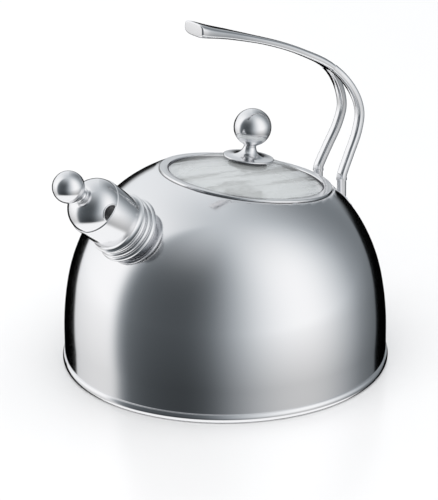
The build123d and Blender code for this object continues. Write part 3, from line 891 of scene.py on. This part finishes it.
def glass():
    """Clear glass with faint smears that only change its roughness."""
    name = "glass"
    if name in bpy.data.materials:
        return bpy.data.materials[name]
    material = bpy.data.materials.new(name)
    material.use_nodes = True
    graph = Graph(material.node_tree)
    principled = material.node_tree.nodes["Principled BSDF"]
    principled.inputs["Base Color"].default_value = rgba(bpy.context.scene.kettle_finishes.glass)
    principled.inputs["Transmission Weight"].default_value = 1.0
    principled.inputs["IOR"].default_value = 1.48
    place = graph.add("TexCoord").outputs["Object"]
    smears = graph.range(graph.noise(place, 45.0, 4.0), 0.5, 0.8, 0.0, 0.02)
    graph.tree.links.new(smears, principled.inputs["Roughness"])
    return material


def silicone():
    """Matt rubber with a pale bloom and a fine moulded grain."""
    name = "silicone"
    if name in bpy.data.materials:
        return bpy.data.materials[name]
    looks = bpy.context.scene.kettle_finishes
    material = bpy.data.materials.new(name)
    material.use_nodes = True
    graph = Graph(material.node_tree)
    principled = material.node_tree.nodes["Principled BSDF"]
    place = graph.add("TexCoord").outputs["Object"]
    bloom = graph.range(graph.noise(place, 120.0, 5.0), 0.4, 0.75)
    tone = graph.mix(bloom, rgba(looks.rubber), rgba(looks.rubber_dust))
    grain = graph.noise(place, 3000.0, 2.0)
    bump = graph.add("Bump", {"Height": grain, "Strength": 0.3, "Distance": 0.00004}).outputs[0]
    links = graph.tree.links
    links.new(tone, principled.inputs["Base Color"])
    links.new(graph.math("ADD", graph.math("MULTIPLY", bloom, 0.15), 0.5), principled.inputs["Roughness"])
    links.new(bump, principled.inputs["Normal"])
    return material


FINISHES = {
    "polished_steel": polished_steel,
    "satin_steel": satin_steel,
    "aluminium": aluminium,
    "glass": glass,
    "silicone": silicone,
}


# ------------------------------------------------------------------ stage

def studio_tint(tone):
    """Pale tones neutral, dark ones a little blue."""
    return (tone * (0.88 + 0.12 * tone), tone, tone * (1.10 - 0.10 * tone), 1.0)


def studio_walls(graph, direction_x, direction_y):
    """Tone of the studio's walls at a bearing from the camera."""
    bearing = graph.math("ARCTAN2", direction_y, direction_x)
    place = graph.math("ADD", graph.math("DIVIDE", bearing, FULL_TURN), 0.5)
    ramp = graph.add("ValToRGB", {0: place})
    ramp.color_ramp.interpolation = "B_SPLINE"
    stops = ramp.color_ramp.elements
    for degrees, tone in STUDIO_TONES:
        stops.new(degrees / 360 + 0.5).color = studio_tint(tone)
    stops.remove(stops[0])
    stops.remove(stops[-1])
    return ramp.outputs[0]


# Bearing from the camera in degrees, to its right positive, and tone.
STUDIO_TONES = [
    (-179, 0.75), (-140, 0.88), (-115, 0.98), (-92, 1.0), (-86, 0.90), (-80, 0.32), (-72, 0.13), (-55, 0.085),
    (-30, 0.065), (-12, 0.12), (4, 0.34), (22, 0.70), (40, 0.93), (60, 1.0), (78, 0.88), (96, 0.56),
    (112, 0.30), (135, 0.15), (158, 0.26), (179, 0.72),
]
OVERHEAD = 0.57
OVERHEAD_FALL = 4.6
FLOOR_GLOW = 0.95
STUDIO_STRENGTH = 1.18
# Height above the horizon in degrees: where the walls dim, the floor's edge, the dark flag's top.
DIM_FROM, DIM_TO = -30, -1
FLOOR_FROM, FLOOR_TO = -34, -46
FLAG_TOP_FROM, FLAG_TOP_TO = 9, -2
# Angle from the far side in degrees where the dark flag's edge starts and ends.
FLAG_FROM, FLAG_TO = 42.8, 41.6
# How much the walls dim, and the share of it that stays at the left.
DIM_DEPTH, DIM_LEFT = 0.50, 0.62


def rise_at(degrees):
    return math.sin(math.radians(degrees))


def studio_world(world):
    """A studio that only reflections see: dark flags, pale boxes; plain pale light elsewhere."""
    world.use_nodes = True
    tree = world.node_tree
    tree.nodes.clear()
    graph = Graph(tree)
    stage = bpy.context.scene.kettle_stage
    direction = graph.add("TexCoord").outputs["Generated"]
    turn = {"Vector": direction, "Angle": math.pi / 2 - stage.azimuth}
    facing = graph.add("VectorRotate", turn, rotation_type="Z_AXIS").outputs[0]
    side, across, rise = graph.add("SeparateXYZ", {0: facing}).outputs
    walls = studio_walls(graph, side, across)
    depth = graph.range(rise, rise_at(DIM_FROM), rise_at(DIM_TO), DIM_DEPTH, 0.0, "LINEAR")
    kept = graph.range(across, -0.95, -0.25, DIM_LEFT, 1.0, "LINEAR")
    dim = graph.math("SUBTRACT", 1.0, graph.math("MULTIPLY", depth, kept))
    walls = graph.mix(1.0, walls, graph.add("CombineXYZ", {0: dim, 1: dim, 2: dim}).outputs[0], "MULTIPLY")
    above = graph.math("POWER", graph.math("MAXIMUM", rise, 0.0), OVERHEAD_FALL)
    walls = graph.mix(above, walls, studio_tint(OVERHEAD))
    below = graph.range(rise, rise_at(FLOOR_FROM), rise_at(FLOOR_TO))
    walls = graph.mix(below, walls, studio_tint(FLOOR_GLOW))
    lean = stage.elevation
    behind = (-math.cos(lean), 0.0, -math.sin(lean))
    nearness = graph.add("VectorMath", {0: facing, 1: behind}, operation="DOT_PRODUCT").outputs["Value"]
    flag = graph.range(nearness, math.cos(math.radians(FLAG_FROM)), math.cos(math.radians(FLAG_TO)))
    flag_top = graph.range(rise, rise_at(FLAG_TOP_FROM), rise_at(FLAG_TOP_TO))
    seen = graph.mix(graph.math("MULTIPLY", flag, flag_top), walls, (0.0, 0.0, 0.0, 1.0))
    path = graph.add("LightPath").outputs
    tone = graph.mix(path["Is Glossy Ray"], rgba([stage.fill] * 3), seen)
    tone = graph.mix(path["Is Transmission Ray"], tone, rgba([stage.through] * 3))
    background = graph.add("Background", {"Color": tone, "Strength": STUDIO_STRENGTH}).outputs[0]
    graph.add("OutputWorld", {0: background})


def floor_material():
    """Plain pale floor with a faint sheen."""
    material = bpy.data.materials.new("floor")
    material.use_nodes = True
    graph = Graph(material.node_tree)
    principled = material.node_tree.nodes["Principled BSDF"]
    tone = rgba(bpy.context.scene.kettle_stage.floor)
    place = graph.add("TexCoord").outputs["Object"]
    speckle = graph.range(graph.noise(place, 6.0, 2.0), 0.3, 0.8, 0.0, 0.06)
    shaded = graph.mix(speckle, tone, rgba([value * 0.9 for value in tone[:3]]))
    graph.tree.links.new(shaded, principled.inputs["Base Color"])
    principled.inputs["Roughness"].default_value = 0.22
    principled.inputs["Specular IOR Level"].default_value = 0.6
    return material


def camera(stage):
    """Long-lens camera at the stage's angle."""
    turn = Matrix.Rotation(stage.azimuth, 4, "Z") @ Matrix.Rotation(math.pi / 2 - stage.elevation, 4, "X")
    right, up, back = (turn.col[i].xyz for i in range(3))
    aim = Vector((0, 0, stage.aim_height)) + right * stage.aim_right + up * stage.aim_up
    lens = bpy.data.cameras.new("camera")
    lens.lens = stage.lens
    lens.sensor_width = 36
    lens.clip_start = 0.05
    piece = bpy.data.objects.new("camera", lens)
    roll = Matrix.Rotation(stage.roll, 4, "Z")
    piece.matrix_world = Matrix.Translation(aim + back * stage.distance) @ turn @ roll
    return piece


def soft_light(stage):
    """One very wide soft light from above, which reflections don't show."""
    light = bpy.data.lights.new("overhead", "SUN")
    light.energy = stage.key_strength
    light.angle = stage.key_spread
    piece = bpy.data.objects.new("overhead", light)
    piece.matrix_world = Matrix.Rotation(stage.azimuth, 4, "Z") @ Matrix.Rotation(math.radians(12), 4, "X")
    piece.visible_glossy = False
    return piece


# ------------------------------------------------------------------ operators

class KETTLE_OT_body(bpy.types.Operator):
    """Model the shell with its lid seat, neck and spout bore"""

    bl_idname = "kettle.body"
    bl_label = "Body shell"

    def execute(self, context):
        scene = context.scene
        shell = new_object(body_shell(scene.kettle_body, scene.kettle_lid), "shell")
        sheet = shell.modifiers.new("Sheet", "SOLIDIFY")
        sheet.thickness = scene.kettle_body.sheet
        carve(shell, [spout_bore(scene.kettle_body, scene.kettle_spout)])
        settle(shell, "kettle", ["body_shell"], "polished_steel")
        return {"FINISHED"}


class KETTLE_OT_base(bpy.types.Operator):
    """Model the floor and its rolled bead"""

    bl_idname = "kettle.base"
    bl_label = "Base and bead"

    def execute(self, context):
        pan = new_object(base_pan(context.scene.kettle_body), "base_bead")
        settle(pan, "kettle", ["base_pan"], "polished_steel")
        return {"FINISHED"}


class KETTLE_OT_collar(bpy.types.Operator):
    """Model the stepped collar at the spout's foot"""

    bl_idname = "kettle.collar"
    bl_label = "Spout collar"

    def execute(self, context):
        scene = context.scene
        bm = spout_collar(scene.kettle_spout)
        bmesh.ops.transform(bm, matrix=spout(scene.kettle_body, scene.kettle_spout), verts=bm.verts)
        settle(new_object(bm, "collar"), "kettle", ["spout_collar"], "polished_steel")
        return {"FINISHED"}


class KETTLE_OT_whistle(bpy.types.Operator):
    """Model the whistle cap, its stem and its ball"""

    bl_idname = "kettle.whistle"
    bl_label = "Whistle cap"

    def execute(self, context):
        scene = context.scene
        body, sizes = scene.kettle_body, scene.kettle_spout
        place = spout(body, sizes)
        stem = cap_levels(sizes)[3]
        bm = whistle_cap(body, sizes)
        bmesh.ops.transform(bm, matrix=place, verts=bm.verts)
        cap = new_object(bm, "cap")
        carve(cap, [port_cutter(body, sizes)])
        settle(cap, "whistle", ["whistle_cap"], "polished_steel")
        rims = port_rims(sizes)
        bmesh.ops.transform(rims, matrix=place, verts=rims.verts)
        settle(new_object(rims, "port_rims"), "whistle", ["whistle_cap"], "polished_steel")
        for name, bm in (("stem", whistle_stem(sizes)), ("ball", ball(sizes.ball_radius, sizes.stem_head, stem))):
            bmesh.ops.transform(bm, matrix=place, verts=bm.verts)
            settle(new_object(bm, "cap_" + name), "whistle", ["whistle_" + name], "polished_steel")
        return {"FINISHED"}


class KETTLE_OT_handle(bpy.types.Operator):
    """Model the handle's grip and its two legs"""

    bl_idname = "kettle.handle"
    bl_label = "Handle"

    def execute(self, context):
        scene = context.scene
        bar = new_object(handle(scene.kettle_body, scene.kettle_handle), "grip_and_legs")
        settle(bar, "kettle", ["handle"], "polished_steel")
        return {"FINISHED"}


class KETTLE_OT_lid(bpy.types.Operator):
    """Model the lid's steel rim and glass"""

    bl_idname = "kettle.lid"
    bl_label = "Lid"

    def execute(self, context):
        scene = context.scene
        place = seat(scene.kettle_body)[0]
        rim = lid_rim(scene.kettle_body, scene.kettle_lid)
        pane = lid_glass(scene.kettle_body, scene.kettle_lid)
        for bm in (rim, pane):
            bmesh.ops.transform(bm, matrix=place, verts=bm.verts)
        settle(new_object(rim, "rim"), "lid", ["lid_rim"], "polished_steel", soft_edge=scene.kettle_lid.rim_softness)
        settle(new_object(pane, "pane"), "lid", ["lid_glass"], "glass", soft_edge=scene.kettle_lid.glass_softness)
        return {"FINISHED"}


class KETTLE_OT_knob(bpy.types.Operator):
    """Model the knob's trumpet foot and its ball"""

    bl_idname = "kettle.knob"
    bl_label = "Knob"

    def execute(self, context):
        scene = context.scene
        lid = scene.kettle_lid
        place = seat(scene.kettle_body)[0]
        foot, level = knob_base(scene.kettle_body, lid)
        top = ball(lid.ball_radius, lid.ball_seat, level)
        for bm, name in ((foot, "knob_base"), (top, "knob_ball")):
            bmesh.ops.transform(bm, matrix=place, verts=bm.verts)
            settle(new_object(bm, name + "_polished"), "lid", [name], "polished_steel")
        return {"FINISHED"}


class KETTLE_OT_kept_parts(bpy.types.Operator):
    """Give each CAD part that stays its own finish"""

    bl_idname = "kettle.kept_parts"
    bl_label = "Finishes of the kept parts"

    def execute(self, context):
        slots = {part["node"]: part["material_slot"] for part in frame["record"]["subparts"]}
        for name, node in frame["nodes"].items():
            if not node.hide_render:
                node.data.materials.clear()
                node.data.materials.append(FINISHES[slots[name]]())
        return {"FINISHED"}


class KETTLE_OT_stage(bpy.types.Operator):
    """Set the floor, the studio light and the camera"""

    bl_idname = "kettle.stage"
    bl_label = "Stage"

    def execute(self, context):
        scene = context.scene
        stage = scene.kettle_stage
        bm = bmesh.new()
        bmesh.ops.create_circle(bm, cap_ends=True, segments=96, radius=6.0)
        floor = new_object(bm, "floor")
        floor.data.materials.append(floor_material())
        floor.visible_glossy = False
        eye = camera(stage)
        for piece in (eye, soft_light(stage)):
            scene.collection.objects.link(piece)
        scene.camera = eye
        if scene.world is None:
            scene.world = bpy.data.worlds.new("studio")
        studio_world(scene.world)
        scene.view_settings.view_transform = "Standard"
        return {"FINISHED"}


class KETTLE_PT_pieces(bpy.types.Panel):
    """Lists the kettle's pieces"""

    bl_label = "Kettle"
    bl_space_type = "VIEW_3D"
    bl_region_type = "UI"
    bl_category = "Kettle"

    def draw(self, context):
        for maker in MAKERS:
            self.layout.operator(maker.bl_idname)


GROUPS = {
    "kettle_body": BodySizes,
    "kettle_lid": LidSizes,
    "kettle_spout": SpoutSizes,
    "kettle_handle": HandleSizes,
    "kettle_finishes": Finishes,
    "kettle_stage": StageSizes,
}
MAKERS = [
    KETTLE_OT_body, KETTLE_OT_base, KETTLE_OT_collar, KETTLE_OT_whistle, KETTLE_OT_handle, KETTLE_OT_lid,
    KETTLE_OT_knob, KETTLE_OT_kept_parts, KETTLE_OT_stage,
]


def register():
    for item in [*GROUPS.values(), *MAKERS, KETTLE_PT_pieces]:
        bpy.utils.register_class(item)
    for name, group in GROUPS.items():
        setattr(bpy.types.Scene, name, PointerProperty(type=group))


def unregister():
    for name in GROUPS:
        delattr(bpy.types.Scene, name)
    for item in reversed([*GROUPS.values(), *MAKERS, KETTLE_PT_pieces]):
        bpy.utils.unregister_class(item)


def main():
    register()
    for maker in MAKERS:
        group, name = maker.bl_idname.split(".")
        getattr(getattr(bpy.ops, group), name)()


if __name__ == "__main__":
    main()
